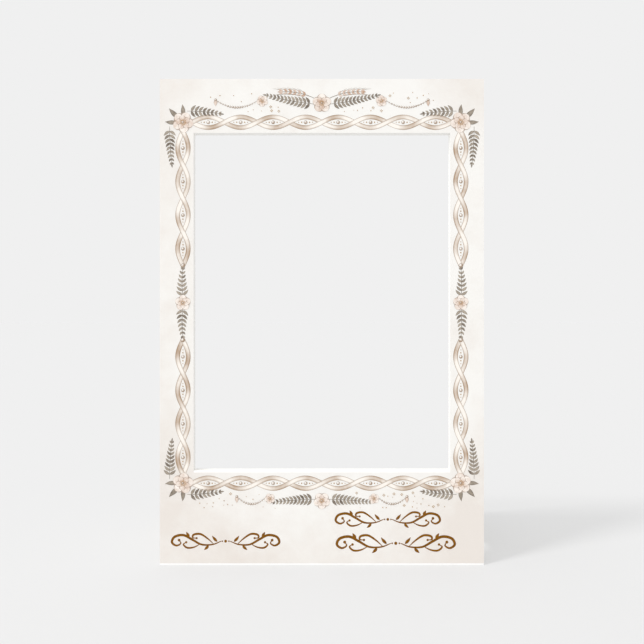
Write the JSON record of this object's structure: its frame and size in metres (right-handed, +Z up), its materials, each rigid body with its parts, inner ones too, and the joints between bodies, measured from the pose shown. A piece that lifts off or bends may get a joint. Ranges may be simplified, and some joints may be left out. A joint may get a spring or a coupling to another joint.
{
  "type": "photo booth frame",
  "caption": "Free-standing printed foam-board photo booth frame with a large open window, held upright by fold-flat corrugated easel wings with lock tabs behind its side rails.",
  "frame": {"origin": "on the floor, under the middle of the foam core's bottom edge", "axes": "+Z up, -Y out of the printed face, +X to the viewer's right when facing the print"},
  "size_m": [0.6096, 0.2458, 0.9144],
  "materials": {
    "print": "matte laminated watercolour print",
    "liner": "clay-coated white paper",
    "foam": "cut polystyrene foam",
    "easel_ply": "white-lined board",
    "fluting": "fluted kraft paper",
    "tape": "polyethylene foam tape"
  },
  "bodies": {
    "board": {"front_print": "print", "front_liner": "liner", "foam_core": "foam", "rear_liner": "liner", "left_flange_inner_ply": "easel_ply", "left_flange_fluting": "fluting", "left_flange_outer_ply": "easel_ply", "left_tape_inner": "tape", "left_tape_outer": "tape", "left_wing_crease": "easel_ply", "right_flange_inner_ply": "easel_ply", "right_flange_fluting": "fluting", "right_flange_outer_ply": "easel_ply", "right_tape_inner": "tape", "right_tape_outer": "tape", "right_wing_crease": "easel_ply"},
    "left_wing": {"left_wing_inner_ply": "easel_ply", "left_wing_fluting": "fluting", "left_wing_outer_ply": "easel_ply", "left_tab_crease": "easel_ply"},
    "left_lock_tab": {"left_lock_tab_inner_ply": "easel_ply", "left_lock_tab_fluting": "fluting", "left_lock_tab_outer_ply": "easel_ply"},
    "right_wing": {"right_wing_inner_ply": "easel_ply", "right_wing_fluting": "fluting", "right_wing_outer_ply": "easel_ply", "right_tab_crease": "easel_ply"},
    "right_lock_tab": {"right_lock_tab_inner_ply": "easel_ply", "right_lock_tab_fluting": "fluting", "right_lock_tab_outer_ply": "easel_ply"}
  },
  "joints": [
    {"name": "left_wing_fold", "type": "hinge", "parent": "board", "child": "left_wing", "pos_m": [-0.2955, 0.0104, 0.325], "axis": [0, 0, -1], "range_deg": [0, 90], "deforming": ["left_wing_crease"]},
    {"name": "left_tab_fold", "type": "hinge", "parent": "left_wing", "child": "left_lock_tab", "pos_m": [-0.2958, 0.0354, 0.04], "axis": [0, 0, -1], "range_deg": [-135, 0], "deforming": ["left_tab_crease"]},
    {"name": "right_wing_fold", "type": "hinge", "parent": "board", "child": "right_wing", "pos_m": [0.2955, 0.0104, 0.325], "axis": [0, 0, 1], "range_deg": [0, 90], "deforming": ["right_wing_crease"]},
    {"name": "right_tab_fold", "type": "hinge", "parent": "right_wing", "child": "right_lock_tab", "pos_m": [0.2958, 0.0354, 0.04], "axis": [0, 0, 1], "range_deg": [-135, 0], "deforming": ["right_tab_crease"]}
  ],
  "couplings": [
    {"joint": "left_tab_fold", "follows": "left_wing_fold", "ratio": -1.5},
    {"joint": "right_tab_fold", "follows": "right_wing_fold", "ratio": -1.5}
  ]
}
